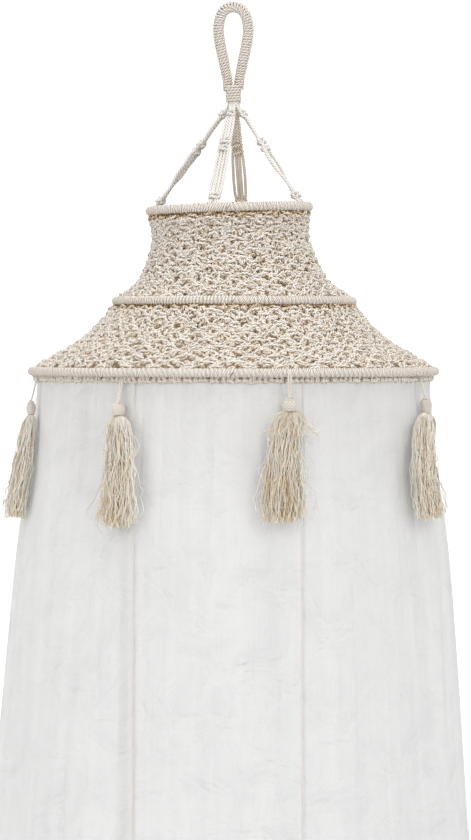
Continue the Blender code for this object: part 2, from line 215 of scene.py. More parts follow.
hoops = {        # as the solids: centreline radius, tube radius, height, sideways shift, tilt
    "top_ring": Settings(radius=0.0968, tube=0.0057, z=-0.2393, shift=-0.0050, tilt=1.7),
    "middle_ring": Settings(radius=0.1437, tube=0.0057, z=-0.3515, shift=0.0010, tilt=0.0),
    "bottom_ring": Settings(radius=0.2453, tube=0.0055, z=-0.4368, shift=0.0, tilt=0.0),
}
crownCord = 0.00175      # radius of the cord where nothing else is said


def around(angle, radius, z):
    turn = math.radians(angle)
    return Vector((radius * math.sin(turn), -radius * math.cos(turn), z))


def hoopPoint(hoop, angle, out=0.0, up=0.0):
    point = around(angle, hoop.radius + out, 0.0)
    slope = math.tan(math.radians(hoop.tilt))
    return Vector((point.x + hoop.shift, point.y, hoop.z + up + point.x * slope))


def hoopPath(hoop, count, out=0.0, up=0.0):
    return [hoopPoint(hoop, 360 * k / count, out, up) for k in range(count)]


def evenPath(points, count):
    # evenly spaced points on a smooth curve through the given ones
    points = [Vector(p) for p in points]
    ends = [points[0] * 2 - points[1]] + points + [points[-1] * 2 - points[-2]]
    fine, steps = [], 12
    for a, b, c, d in zip(ends, ends[1:], ends[2:], ends[3:]):
        for t in (k / steps for k in range(steps)):
            fine.append(0.5 * (2 * b + (c - a) * t + (2 * a - 5 * b + 4 * c - d) * t * t
                               + (3 * b - a - 3 * c + d) * t ** 3))
    fine = np.array([*fine, points[-1]])
    reach = np.concatenate(([0.0], np.cumsum(np.linalg.norm(np.diff(fine, axis=0), axis=1))))
    goals = np.linspace(0.0, reach[-1], count)
    return [Vector(point) for point in zip(*(np.interp(goals, reach, axis) for axis in fine.T))]


def pathHost(name, runs, closed=False, widths=None):
    # polylines as bare edges, with a width at each point, for a tree to follow
    points, edges, spans = [], [], []
    for k, run in enumerate(runs):
        first = len(points)
        points += [tuple(p) for p in run]
        spans += widths[k] if widths else [1.0] * len(run)
        edges += [(first + n, first + n + 1) for n in range(len(run) - 1)]
        if closed:
            edges.append((first + len(run) - 1, first))
    mesh = bpy.data.meshes.new(name)
    mesh.from_pydata(points, edges, [])
    mark(mesh, "width", spans)
    return linked(name, mesh)


def pointHost(name, places, sizes):
    # bare points with a turn and a size for the knots that go on them
    mesh = bpy.data.meshes.new(name)
    mesh.from_pydata([tuple(p) for p, *_ in places], [], [])
    turns = [Matrix(directions).transposed().to_euler() for _, *directions in places]
    mark(mesh, "turn", [c for turn in turns for c in turn], "FLOAT_VECTOR")
    mark(mesh, "size", [c for size in sizes for c in size], "FLOAT_VECTOR")
    return linked(name, mesh)


# each look holds the cord's colours and how much painted shade goes into its ply grooves, deep places and knot gaps
cordLook = Settings(
    light=(0.92, 0.87, 0.80, 1), dark=(0.20, 0.125, 0.065, 1), plies=3.0, twist=1500.0, lightAt=0.62,
    relief=0.0005, fuzz=0.00014, fuzzScale=1300.0, mottleScale=60.0, mottle=0.30, uneven=0.0,
    plyShade=0.95, plyDark=0.66, fibre=0.6, fibreDark=0.68, sunk=0.14, deep=(0.95, 0.83, 0.66, 1))
knotLook = Settings(
    cordLook, cells=165.0, cellEdge=0.13, cellShade=0.26, cellRelief=0.00025, lightAt=0.44, deep=(0.93, 0.80, 0.61, 1))
strapLook = Settings(cordLook, light=(0.85, 0.82, 0.775, 1), plyShade=0.66)
windingLook = Settings(
    cordLook, light=(0.84, 0.793, 0.735, 1), plyShade=0.80, relief=0.0008, sunk=0.48, deep=(0.92, 0.78, 0.60, 1))
yarnLook = Settings(
    light=(1.0, 0.96, 0.865, 1), dark=(0.80, 0.585, 0.32, 1), plies=2.0, twist=1600.0, lightAt=0.36,
    relief=0.0002, fuzz=0.00010, fuzzScale=1700.0, mottleScale=70.0, mottle=0.50, uneven=0.80,
    plyShade=0.6, plyDark=0.66, fibre=0.6, fibreDark=0.68, sunk=0.12, deep=(0.94, 0.755, 0.48, 1))
netLook = Settings(
    colour=(0.915, 0.915, 0.913, 1), foldColour=(0.845, 0.846, 0.848, 1),
    seamColour=(0.90, 0.884, 0.866, 1), alpha=0.64, hemAlpha=0.70, weaveAlpha=0.08,
    translucent=0.40, thread=0.00062, slub=0.05, relief=0.00006, slubRelief=0.00006, crumple=0.0048,
    slubs=((900.0, 14.0, 1.0), (12.0, 700.0, 1.0)), crumples=18.0, ridges=2.0, gathers=14.0, gatherDown=(0.0, 0.0, 2.4))


def newMaterial(name, roughness, specular):
    made = bpy.data.materials.new(name)
    made.use_nodes = True
    shader = made.node_tree.nodes["Principled BSDF"]
    shader.inputs["Roughness"].default_value = roughness
    shader.inputs["Specular IOR Level"].default_value = specular
    return made, Nodes(made.node_tree), shader


def cordMaterial(name, look):
    # twisted cotton: plies run round the cord by its own length and round attributes; the grooves between the plies get
    # painted shade
    made, nodes, shader = newMaterial(name, 0.95, 0.2)
    along, chance, sunk = (nodes.attribute(key) for key in ("cordLength", "luck", "sunk"))
    x, y, _ = nodes.attribute("cordRound", "Vector").xyz()
    turning = along * look.twist + y.op("ARCTAN2", x) * look.plies
    turning = turning + chance * 60.0                     # no two yarns keep step
    ply = (turning * 0.5).op("SINE").op("ABSOLUTE")
    strokes = ply * look.plyShade + look.plyDark * (1.0 - look.plyShade)
    place = nodes.out("ShaderNodeTexCoord", None, "Object")
    mottle = nodes.noise(place, look.mottleScale, 3.0)
    fibre = nodes.noise(place, look.fuzzScale, 3.0, Roughness=0.7)
    shade = strokes * (fibre * look.fibre + look.fibreDark) + (mottle - 0.5) * look.mottle
    # painted shade: the deeper a point lies between the cords, the darker it is painted
    shade = shade + chance * look.uneven - sunk * look.sunk
    under = None
    if "cells" in look:                                   # painted shade: fine dark gaps paint the shade between small tight knots, which also get a small bump
        cells = nodes.out("ShaderNodeTexVoronoi", {"Vector": place, "Scale": look.cells}, "Distance",
                          feature="DISTANCE_TO_EDGE")
        blob = (cells / look.cellEdge).op("MINIMUM", 1.0)
        shade = shade + (blob - 1.0) * look.cellShade
        under = nodes.bump(blob, look.cellRelief)
    # painted shade: the ramp's dark end colours the ply grooves, the deep places and the knot gaps, as well as the
    # cord's own darker random tones
    ramp = nodes.add("ShaderNodeValToRGB", {0: shade})
    darkEnd, lightEnd = ramp.color_ramp.elements
    darkEnd.color = look.dark
    lightEnd.position, lightEnd.color = look.lightAt, look.light
    cotton = nodes.mixed(sunk, ramp.outputs["Color"], look.deep, "MULTIPLY")      # painted shade: tan multiplied in deep between the cords
    nodes.put(cotton, shader.inputs["Base Color"])
    twisted = nodes.bump(ply, look.relief, under)
    nodes.put(nodes.bump(fibre, look.fuzz, twisted), shader.inputs["Normal"])
    return made


def netMaterial(name, look):
    # plain-woven muslin: threads from the cloth's own place, denser where it is doubled; folds and crumples get painted
    # shade
    made, nodes, shader = newMaterial(name, 0.9, 0.1)
    place, doubled = nodes.attribute("clothPlace", "Vector"), nodes.attribute("doubled")
    warp, weft = ((way * (fullTurn / look.thread)).op("SINE") for way in place.xyz()[:2])
    weave = warp * weft * 0.5 + 0.5
    slubAlong, slubAcross = (nodes.noise(place * stretch, 1.0, 2.0) for stretch in look.slubs)
    slub = slubAlong + slubAcross
    crumple = nodes.noise(place, look.crumples, 4.0, Roughness=0.6, Distortion=0.6)
    shown = nodes.out("ShaderNodeTexCoord", None, "Object")
    radial = (shown * (1.0, 1.0, 0.0)).op("NORMALIZE")
    gathers = nodes.noise(radial * look.gathers + shown * look.gatherDown, 1.0, 2.0, Roughness=0.5)
    crumpled = gathers + (crumple - 0.5).op("ABSOLUTE") * look.ridges
    # painted shade: gathers and crumples darken the cloth towards the fold shade colour
    plain = nodes.mixed(crumpled * 1.5 - 0.5, look.colour, look.foldColour)
    tint = nodes.mixed(doubled, plain, look.seamColour)
    nodes.put(tint, shader.inputs["Base Color"])
    cover = doubled * (look.hemAlpha - look.alpha) + look.alpha
    cover = cover + (slub - 1.0) * look.slub + (weave - 0.5) * look.weaveAlpha
    nodes.put(cover, shader.inputs["Alpha"])
    relief = nodes.bump(slub, look.slubRelief, nodes.bump(weave, look.relief))
    relief = nodes.bump(crumpled, look.crumple, relief)
    nodes.put(relief, shader.inputs["Normal"])
    back = nodes.out("ShaderNodeBsdfTranslucent", {"Color": tint, "Normal": relief})
    clear = nodes.out("ShaderNodeBsdfTransparent")
    hidden = nodes.out("ShaderNodeMixShader", {0: cover, 1: clear, 2: back})
    both = nodes.out("ShaderNodeMixShader", {0: look.translucent, 1: shader.outputs[0], 2: hidden})
    nodes.put(both, nodes.tree.nodes["Material Output"].inputs["Surface"])
    return made


cottonCord = cordMaterial("cottonCord", cordLook)
woundCord = cordMaterial("woundCord", windingLook)
strapCotton = cordMaterial("strapCotton", strapLook)
knottedCotton = cordMaterial("knottedCotton", knotLook)
tasselYarn = cordMaterial("tasselYarn", yarnLook)
muslin = netMaterial("sheerMuslin", netLook)
print("finishes made")


def sweptCord(nodes, curve, radius, sides):
    # a round cord along a curve; each point keeps its length along and its direction round
    circle = nodes.geo("CurvePrimitiveCircle", {"Resolution": sides, "Radius": radius})
    turn = nodes.geo("SplineParameter", None, "Factor") * fullTurn
    profile = nodes.store(circle, "cordRound", nodes.vector(turn.op("COSINE"), turn.op("SINE")))
    measured = nodes.store(curve, "cordLength", nodes.geo("SplineParameter", None, "Length"))
    return nodes.geo("CurveToMesh", {"Curve": measured, "Profile Curve": profile, "Fill Caps": True})


def windingTree():
    # helical turns round a path; several starts lie side by side and lean more
    nodes, given = newTree(
        "windingTurns", turns=10, steps=10, starts=1, hand=1.0, coil=0.005,
        cord=crownCord, sides=6, wobble=0.0001, slant=0.0, finish="Material")
    curve = nodes.geo("MeshToCurve", {"Mesh": given.geometry})
    even = nodes.geo("ResampleCurve", {"Curve": curve, "Count": given.turns * given.steps})
    copies = nodes.add("GeometryNodeDuplicateElements", {"Geometry": even, "Amount": given.starts}, domain="SPLINE")
    phased = nodes.store(copies.outputs[0], "startNumber", copies.outputs[1], domain="CURVE")
    turn = nodes.geo("SplineParameter", None, "Index") / given.steps
    angle = (turn + nodes.named("startNumber") / given.starts) * fullTurn * given.hand
    normal, tangent = nodes.geo("InputNormal"), nodes.geo("InputTangent")
    across = normal * angle.op("COSINE") + tangent.op("CROSS_PRODUCT", normal) * angle.op("SINE")
    uneven = nodes.noise(None, 260.0, 1.0, "Color") - (0.5, 0.5, 0.5)
    offset = across * (nodes.named("width") * given.coil) + uneven * given.wobble
    offset = offset + tangent * (across.xyz()[2] * given.slant)        # turns lean on over the top
    wound = nodes.geo("SetPosition", {"Geometry": phased, "Offset": offset})
    return closeTree(nodes, sweptCord(nodes, wound, given.cord, given.sides), given.finish)


def runningTree():
    # a cord swept along each polyline, its width taken from the path
    nodes, given = newTree("runningCords", cord=crownCord, sides=6, finish="Material")
    curve = nodes.geo("MeshToCurve", {"Mesh": given.geometry})
    sized = nodes.geo("SetCurveRadius", {"Curve": curve, "Radius": nodes.named("width")})
    return closeTree(nodes, sweptCord(nodes, sized, given.cord, given.sides), given.finish)


def knotFieldTree():
    # one knot on each point, turned as the point says, each a little different
    nodes, given = newTree("knotField", knot="Object", growing=0.06, turning=0.10, seed=1, finish="Material")
    knot = nodes.geo("ObjectInfo", {"Object": given.knot, "As Instance": True}, "Geometry")
    turn = nodes.out("FunctionNodeEulerToRotation", {0: nodes.named("turn", "FLOAT_VECTOR")})
    spread = nodes.vector(given.turning, given.turning, given.turning)
    jitter = nodes.out("FunctionNodeRandomValue", {0: spread * -1.0, 1: spread, "Seed": given.seed},
                       data_type="FLOAT_VECTOR")
    jitter = nodes.out("FunctionNodeEulerToRotation", {0: jitter})
    turned = nodes.out("FunctionNodeRotateRotation", {0: turn, 1: jitter}, rotation_space="LOCAL")
    ends = {2: 1.0 - given.growing, 3: given.growing + 1.0, "Seed": given.seed + 1.0}
    grow = nodes.out("FunctionNodeRandomValue", ends, 1, data_type="FLOAT")
    placed = nodes.geo("InstanceOnPoints", {
        "Points": given.geometry, "Instance": knot, "Rotation": turned,
        "Scale": nodes.named("size", "FLOAT_VECTOR") * grow})
    return closeTree(nodes, placed, given.finish)


skirtShape = Settings(
    golden=2.39996, bend=1.5, narrowest=0.08, widening=0.6, crossing=1.1, swayEnd=0.7, swayRate=2.244, ragged=0.13,
    longest=1.01, dome=0.0015, aside=(1.0, 0.45, 0.0), calm=0.40, wild=1.5, fewWild=2.5, clump=0.0045,
    waves=(4.0, 2.0, 1.5), looser=0.45, thinner=-0.45, sunkAt=1.8, sunkFall=-2.2)


def skirtTree():
    # hanging yarns in a flattened, leaning bunch; x is round the canopy and -y is outward
    s = skirtShape
    nodes, given = newTree(
        "tasselSkirt", yarns=100, steps=22, root=0.3, halfWidth=0.024, halfDepth=0.012, lean=0.019, swing=0.0,
        length=0.13, yarn=0.0009, crimp=0.0072, stray=0.0075, shoulder=0.127, seed=1, finish="Material")
    number = nodes.geo("InputIndex")
    out = ((number + 0.5) / given.yarns).op("SQRT")
    spin = number * s.golden                              # the golden angle spreads the yarns evenly
    place = nodes.vector(out * spin.op("COSINE"), out * spin.op("SINE"))
    points = nodes.geo("Points", {"Count": given.yarns, "Position": place})
    kept = nodes.store(points, "root", nodes.geo("InputPosition"))
    chance = nodes.out("FunctionNodeRandomValue", {0: (-1.0, -1.0, -1.0), 1: (1.0, 1.0, 1.0), "Seed": given.seed},
                       data_type="FLOAT_VECTOR")
    kept = nodes.store(kept, "luck", chance)
    line = nodes.geo("CurvePrimitiveLine", {"End": (0.0, 0.0, -1.0)})
    line = nodes.geo("ResampleCurve", {"Curve": line, "Count": given.steps})
    yarns = nodes.geo("InstanceOnPoints", {"Points": kept, "Instance": line})
    yarns = nodes.geo("RealizeInstances", {"Geometry": yarns})
    root, luck = nodes.named("root", "FLOAT_VECTOR"), nodes.named("luck", "FLOAT_VECTOR")
    luckX, luckY, luckZ = luck.xyz()
    # closer points where the yarns bend over the tie
    down = nodes.geo("SplineParameter", None, "Factor").op("POWER", s.bend)
    early = 1.0 - (down / given.shoulder).op("MINIMUM", 1.0)
    dome = (1.0 - early * early).op("SQRT").op("MAXIMUM", s.narrowest)
    flare = dome * (down.op("POWER", s.widening) * (1.0 - given.root) + given.root)
    turned = nodes.out("ShaderNodeVectorRotate", {"Vector": root, "Angle": luckY * down * s.crossing},
                       rotation_type="Z_AXIS")
    rootX, rootY, _ = turned.xyz()
    sway = (down.op("MINIMUM", s.swayEnd) * s.swayRate).op("SINE")
    x = rootX * given.halfWidth * flare + sway * given.swing
    y = rootY * given.halfDepth * flare - down * given.lean
    shorter = luckZ.op("ABSOLUTE").op("POWER", 1.3) * s.ragged
    z = down * ((s.longest - shorter) * given.length) * -1.0 - root.op("DOT_PRODUCT", root) * s.dome
    straight = nodes.vector(x, y, z)
    place = straight + nodes.vector(given.seed)
    shape = straight + luck * s.aside * (down.op("POWER", 1.3) * given.stray)
    loosen = down.op("POWER", s.looser)
    wild = luckX.op("ABSOLUTE").op("POWER", s.fewWild) * s.wild + s.calm       # most yarns hang calmly, a few are wild
    for spread, scale, amount in ((0.9, 30.0, given.crimp * wild), (0.020, 44.0, s.clump)):
        wave = nodes.noise(place + luck * spread, scale, 1.0, "Color") - (0.5, 0.5, 0.5)
        shape = shape + wave * s.waves * (loosen * amount)
    thin = down.op("POWER", 3.0) * s.thinner + 1.0
    yarns = nodes.geo("SetCurveRadius", {"Curve": yarns, "Radius": thin})
    # painted shade: yarns nearer the middle of the bunch are painted deeper and darker
    inside = nodes.out("ShaderNodeClamp", {0: root.op("LENGTH") * s.sunkFall + s.sunkAt})
    yarns = nodes.store(yarns, "sunk", inside)
    shaped = nodes.geo("SetPosition", {"Geometry": yarns, "Position": shape})
    return closeTree(nodes, sweptCord(nodes, shaped, given.yarn, 3), given.finish)


winding, running, knotField, skirtYarns = windingTree(), runningTree(), knotFieldTree(), skirtTree()


def wind(name, path, closed=False, widths=None, **values):
    host = pathHost(name, [path], closed, [widths] if widths else None)
    return runTree(host, winding, name, **{"finish": woundCord, "cord": crownCord, **values})


def runCords(name, runs, **values):
    return runTree(pathHost(name, runs), running, name, **{"finish": cottonCord, "cord": crownCord, **values})


def placeKnots(name, knot, places, sizes, **values):
    return runTree(pointHost(name, places, sizes), knotField, name, knot=knot, **values)


def darken(piece, core, high, low):
    # stores how deep each point lies between the cords, for painted shade there: 0 at high from the core, 1 at low and
    # under
    tree = KDTree(len(core))
    for k, point in enumerate(core):
        tree.insert(point, k)
    tree.balance()
    away = np.array([tree.find(v.co)[2] for v in piece.data.vertices])
    mark(piece.data, "sunk", clipped((high - away) / (high - low)))


loopShape = Settings(
    foot=-0.0905, neckHeight=0.0200, neckRadius=0.0099, pitch=0.0033, cord=0.0017,
    coreTop=0.0073, coreFoot=0.0066, slimOver=0.05, tuckedIn=0.004,
    side=((0.0, 0.0074), (0.0125, 0.0015), (0.0180, -0.0160), (0.0168, -0.0350), (0.0130, -0.0530),
          (0.0092, -0.0720), (0.0070, -0.0830)))


def hangingLoop():
    s = loopShape
    legFoot = (s.coreFoot + 0.0001, s.foot - s.tuckedIn)
    right = [(x, 0.0, z) for x, z in (*s.side, legFoot)]
    left = [(-x, y, z) for x, y, z in right[:0:-1]]
    path = evenPath(left + right, 160)
    length = sum((b - a).length for a, b in zip(path, path[1:]))
    swell = s.coreTop - s.coreFoot
    widths = [s.coreFoot + swell * smoothStep((p.z - s.foot) / s.slimOver) - s.cord for p in path]
    loop = wind("hangingLoop", path, widths=widths, turns=round(length / s.pitch), steps=14, coil=1.0,
                cord=s.cord, sides=7, wobble=0.0004)
    darken(loop, evenPath(path, 400), s.coreTop - 0.0006, s.coreTop - 0.0036)
    settle(loop, "hanging_loop")
    top, low = s.foot + 0.0010, s.foot - s.neckHeight + s.cord
    axis = evenPath([(0, 0, top), (0, 0, (top + low) / 2), (0, 0, low)], 40)
    neck = wind("neckBinding", axis, turns=round((top - low) / s.pitch), steps=22,
                coil=s.neckRadius - s.cord, cord=s.cord, sides=7, wobble=0.0003)
    darken(neck, axis, s.neckRadius - 0.0004, s.neckRadius - 0.0030)
    settle(neck, "neck_binding")


hoopWinding = Settings(pitch=0.0042, starts=4, cord=0.0020, wobble=0.0006, slant=0.0045, lit=0.0003, dark=0.0021)
edgingShape = Settings(inset=0.0062, drop=0.0070, core=0.0017, starts=2, wobble=0.0016, hitches=240, apart=0.0006,
                       lit=0.0046, dark=0.0022, seed=31)
hitchRuns = (    # one rough half hitch of two crossing cords; y is up, z is outward; a point count leads each run
    (4, (-0.0026, 0.0046, -0.0010), (-0.0014, 0.0022, 0.0022), (0.0012, -0.0016, 0.0026), (0.0024, -0.0044, 0.0002)),
    (4, (0.0024, 0.0042, 0.0), (0.0004, 0.0012, 0.0032), (-0.0018, -0.0020, 0.0022), (-0.0014, -0.0046, -0.0008)),
    (3, (-0.0030, -0.0012, 0.0004), (0.0, -0.0030, 0.0030), (0.0032, -0.0020, 0.0006)),
)


def windHoops():
    s = hoopWinding
    for name, hoop in hoops.items():
        turns = round(fullTurn * hoop.radius / (s.pitch * s.starts))
        ring = wind(name + "Winding", hoopPath(hoop, 120), closed=True, turns=turns, starts=s.starts, hand=-1.0,
                    steps=12, coil=hoop.tube - s.cord + 0.0001, cord=s.cord, wobble=s.wobble, slant=s.slant)
        darken(ring, hoopPath(hoop, 720), hoop.tube - s.lit, hoop.tube - s.dark)
        settle(ring, name)


def hitch():
    runs = [evenPath(points, count) for count, *points in hitchRuns]
    return runCords("hitch", runs, cord=0.00160, sides=4)


def edgingRow():
    # the rough row of half hitches under the bottom hoop, inside and out
    s = edgingShape
    rng = random.Random(s.seed)
    hoop = hoops["bottom_ring"]
    turns = round(fullTurn * hoop.radius / (hoopWinding.pitch * s.starts))
    row = wind("edgingRow", hoopPath(hoop, 120, -s.inset, -s.drop), closed=True, turns=turns, starts=s.starts,
               steps=8, coil=s.core, cord=s.core, sides=5, wobble=s.wobble)
    places, sizes = [], []
    for facing in (1, -1):
        for k in range(s.hitches):
            angle = 360 * (k + rng.uniform(-0.25, 0.25)) / s.hitches
            out = around(angle, facing, 0.0)
            across = around(angle + 90, facing, 0.0)
            lift = rng.uniform(-0.0007, 0.0006)
            point = hoopPoint(hoop, angle, s.apart * facing - s.inset, lift - s.drop)
            places.append((point, across, Vector((0, 0, 1)), out))
            sizes.append((rng.uniform(0.9, 1.15), rng.uniform(0.85, 1.15), rng.uniform(0.8, 1.15)))
    unit = hitch()
    hitches = placeKnots("edgingHitches", unit, places, sizes, finish=cottonCord, seed=s.seed, turning=0.38)
    bpy.data.objects.remove(unit)
    piece = joined("edgingRow", [row, hitches])
    darken(piece, hoopPath(hoop, 720, -s.inset, -s.drop), s.lit, s.dark)
    settle(piece, "ring_edging")


knotShape = Settings(halfWidth=0.0062, halfHeight=0.0045, swell=0.0025, cord=0.0018, tall=1.10, wrapped=0.75)
knotRuns = (     # a square knot in shares of the half-width, the half-height and the swell, led by point counts
    (7, (-0.75, 1.0, -0.2), (-0.98, 0.62, 0.15), (-0.55, 0.30, 0.85), (0.0, 0.42, 1.08), (0.55, 0.62, 0.85),
     (0.95, 0.42, 0.2), (1.0, 0.0, -0.35)),                          # the upper bar
    (7, (1.0, 0.12, -0.2), (0.98, -0.40, 0.15), (0.5, -0.62, 0.85), (0.0, -0.46, 1.05), (-0.55, -0.30, 0.85),
     (-0.98, -0.52, 0.2), (-0.8, -1.0, -0.3)),                       # the lower bar
    (3, (-0.9, 0.75, -0.3), (-1.08, 0.1, -0.2), (-0.92, -0.6, -0.3)),     # the side loop
    (3, (-0.95, 0.25, -0.6), (0.0, 0.0, -0.95), (0.95, -0.25, -0.6)),     # the back bar
    (2, (-0.32, 1.15, -0.1), (-0.32, -1.15, -0.1)),                  # the two cords they are tied over
    (2, (0.32, 1.15, -0.1), (0.32, -1.15, -0.1)),
)
bandDepth = Settings(proud=0.0030, rim=0.0052, rimShade=6.0)
crownBands = (
    Settings(node="crown_upper", high="top_ring", low="middle_ring", columns=25, rows=12, seed=4,
             wide=(1.12,) * 8 + (1.14, 1.16, 1.20, 1.26), filled=(1.0,) * 6 + (0.95, 0.9, 0.85, 0.85, 0.95, 1.0),
             profile=((0.0928, -0.2580), (0.0916, -0.2690), (0.0924, -0.2807), (0.0955, -0.2893),
                      (0.1003, -0.3040), (0.1053, -0.3150), (0.1120, -0.3270), (0.1225, -0.3375))),
    Settings(node="crown_lower", high="middle_ring", low="bottom_ring", columns=39, rows=10, seed=9,
             wide=(1.02, 1.06, 1.08, 1.12, 1.16, 1.22, 1.28, 1.34, 1.40, 1.46), filled=(1.0,) * 10,
             profile=((0.1500, -0.3650), (0.1600, -0.3775), (0.1735, -0.3915), (0.1875, -0.4030),
                      (0.2025, -0.4125), (0.2180, -0.4207))),
)


def squareKnot(hand):
    # two crossing bars with side loops, over two core cords; y is up the wall and z outward
    w, h, out = hand * knotShape.halfWidth, knotShape.halfHeight, knotShape.swell
    runs = [evenPath([(x * w, y * h, z * out) for x, y, z in points], count) for count, *points in knotRuns]
    return runCords("squareKnot", runs, cord=knotShape.cord, sides=4)


def bandSection(band):
    # the wall's section from hoop to hoop, as the solid's
    upper, lower = hoops[band.high], hoops[band.low]
    rows = [Vector((r, 0.0, z)) for r, z in band.profile]
    first, last = (Vector((hoop.radius, 0.0, hoop.z)) for hoop in (upper, lower))
    head = first + (rows[0] - first).normalized() * upper.tube
    foot = last + (rows[-1] - last).normalized() * lower.tube
    return evenPath([head, *rows, foot], 120)


def bandPlace(band, section, angle, share):
    # a point of the wall with its directions round, up and out
    upper, lower = hoops[band.high], hoops[band.low]
    place = clipped(share) * (len(section) - 1)
    low = min(int(place), len(section) - 2)
    middle = section[low].lerp(section[low + 1], place - low)
    run = (section[low + 1] - section[low]).normalized()
    flat = around(angle, middle.x, 0.0)
    shift = upper.shift * (1 - share) + lower.shift * share
    slope = math.tan(math.radians(upper.tilt)) * (1 - share)
    point = Vector((flat.x + shift, flat.y, middle.z + flat.x * slope))
    across = around(angle + 90, 1.0, 0.0)
    up = -(around(angle, 1.0, 0.0) * run.x + Vector((0, 0, run.z)))
    return point, across, up, across.cross(up)


def sinkBand(piece, band, section):
    # stores how deep in the wall each point lies, for painted shade where the cords shade each other
    s = bandDepth
    upper, lower = hoops[band.high], hoops[band.low]
    co = np.empty(len(piece.data.vertices) * 3)
    piece.data.vertices.foreach_get("co", co)
    x, y, z = co.reshape(-1, 3).T
    share = clipped((section[0].z - z) / (section[0].z - section[-1].z))
    shift = upper.shift * (1 - share) + lower.shift * share
    height = z - x * math.tan(math.radians(upper.tilt)) * (1 - share)
    radius = np.hypot(x - shift, y)
    away, proud = np.full(len(radius), 1.0), np.zeros(len(radius))
    for p, q in zip(section, section[1:]):
        run = (q - p).normalized()
        gap = np.hypot(radius - p.x, height - p.z)
        closer = gap < away
        away[closer] = gap[closer]
        proud[closer] = ((radius - p.x) * -run.z + (height - p.z) * run.x)[closer]
    rim = np.hypot(radius - section[0].x, height - section[0].z)
    depth = 1.0 - clipped(proud / s.proud)
    mark(piece.data, "sunk", depth + s.rimShade * clipped(1.0 - rim / s.rim))    # painted shadow, darkest under the hoop


def knottedBand(band, knots):
    rng = random.Random(band.seed)
    section = bandSection(band)
    columns, rows = band.columns, band.rows
    w, h = knotShape.halfWidth, knotShape.halfHeight
    grid, sizes, hands, fillers, spans, runs = {}, {}, {}, [], [], []

    def spot(row, column, aside, below, sway, rise):
        angle = 360 * (column + aside + 0.5 * (row % 2) + rng.uniform(-sway, sway)) / columns
        return bandPlace(band, section, angle, (row + below + rng.uniform(-rise, rise)) / rows)

    def fill(place, lift, *spread):
        point, across, up, out = place
        fillers.append((point + out * rng.uniform(*lift), across, up, out))
        spans.append([rng.uniform(*ends) for ends in spread])

    def link(top, foot, sideways):
        # two cords from the foot of one knot to the head of the next one down
        a, acrossA, upA, outA = top
        b, acrossB, upB, outB = foot
        for start, end, depth in ((0.30, -0.90, 0.0004), (0.90, -0.30, 0.0018)):
            begin = a + acrossA * sideways * start * w - upA * h * 0.75 + outA * depth
            finish = b + acrossB * sideways * end * w + upB * h * 0.75 + outB * depth
            lift = (outA + outB) * 0.5 * (depth + rng.uniform(-0.0012, 0.0010))
            droop = upA * rng.uniform(-0.0014, 0.0010) + acrossA * rng.uniform(-0.0012, 0.0012)
            first = begin.lerp(finish, 0.33) + lift - upA * h * 0.22 + droop
            second = begin.lerp(finish, 0.67) + lift + upB * h * 0.22 + droop
            runs.append([begin + upA * h * 0.2, first, second, finish - upB * h * 0.2])

    cells = [(row, column) for row in range(rows) for column in range(columns)]
    for row, column in cells:
        grid[row, column] = spot(row, column, 0.0, 0.5, 0.05, 0.13)
        sizes[row, column] = (band.wide[row] * rng.uniform(0.92, 1.08),
                              knotShape.tall * rng.uniform(0.90, 1.12), rng.uniform(0.85, 1.2))
        hands[row, column] = int(rng.random() < (0.75 if row % 2 else 0.25))
    parts = []
    for side, knot in enumerate(knots):       # some knots are tied left over right, some right over left
        keys = [key for key in grid if hands[key] == side]
        parts.append(placeKnots("bandKnots", knot, [grid[key] for key in keys], [sizes[key] for key in keys],
                                finish=knottedCotton, seed=band.seed + side, turning=0.26))
    for row, column in cells:                 # loose half hitches close most of the gaps between the knots
        if rng.random() < band.filled[row]:
            fill(spot(row, column, 0.5, 0.5, 0.08, 0.2), (-0.0022, -0.0008), (1.3, 1.7), (1.0, 1.3), (0.9, 1.2))
    for row, column in cells[:-columns]:      # and the cords between the knots are wrapped here and there
        for side in (-0.25, 0.25):
            place = spot(row, column, side, 1.0, 0.05, 0.15)
            if rng.random() < knotShape.wrapped:
                fill(place, (-0.0006, 0.0006), (0.95, 1.25), (0.70, 0.95), (0.8, 1.1))
    unit = hitch()
    parts.append(placeKnots("bandFillers", unit, fillers, spans, finish=knottedCotton, seed=band.seed + 5,
                            turning=1.1))
    bpy.data.objects.remove(unit)
    for row, column in cells[:-columns]:
        link(grid[row, column], grid[row + 1, (column + row % 2) % columns], 1)
        link(grid[row, column], grid[row + 1, (column - 1 + row % 2) % columns], -1)
    # from the hoops to the first and last rows, tucked in behind the winding
    for row, share, sign in ((0, 0.0, 1), (rows - 1, 1.0, -1)):
        for column in range(columns):
            point, across, up, out = grid[row, column]
            edge = bandPlace(band, section, math.degrees(math.atan2(point.x, -point.y)), share)[0]
            for side in (-0.95, -0.32, 0.32, 0.95):
                near = point + across * side * w + up * h * 0.7 * sign
                far = edge + across * side * w * 1.9 + up * sign * 0.0015 - out * 0.0022
                middle = near.lerp(far, 0.5) + out * rng.uniform(-0.0008, 0.0006)
                runs.append([near - up * sign * h * 0.3, near, middle, far])
    parts.append(runCords("bandLinks", runs, finish=knottedCotton, cord=knotShape.cord * 0.92, sides=4))
    piece = joined(band.node + "Knots", parts)
    sinkBand(piece, band, section)
    settle(piece, band.node)


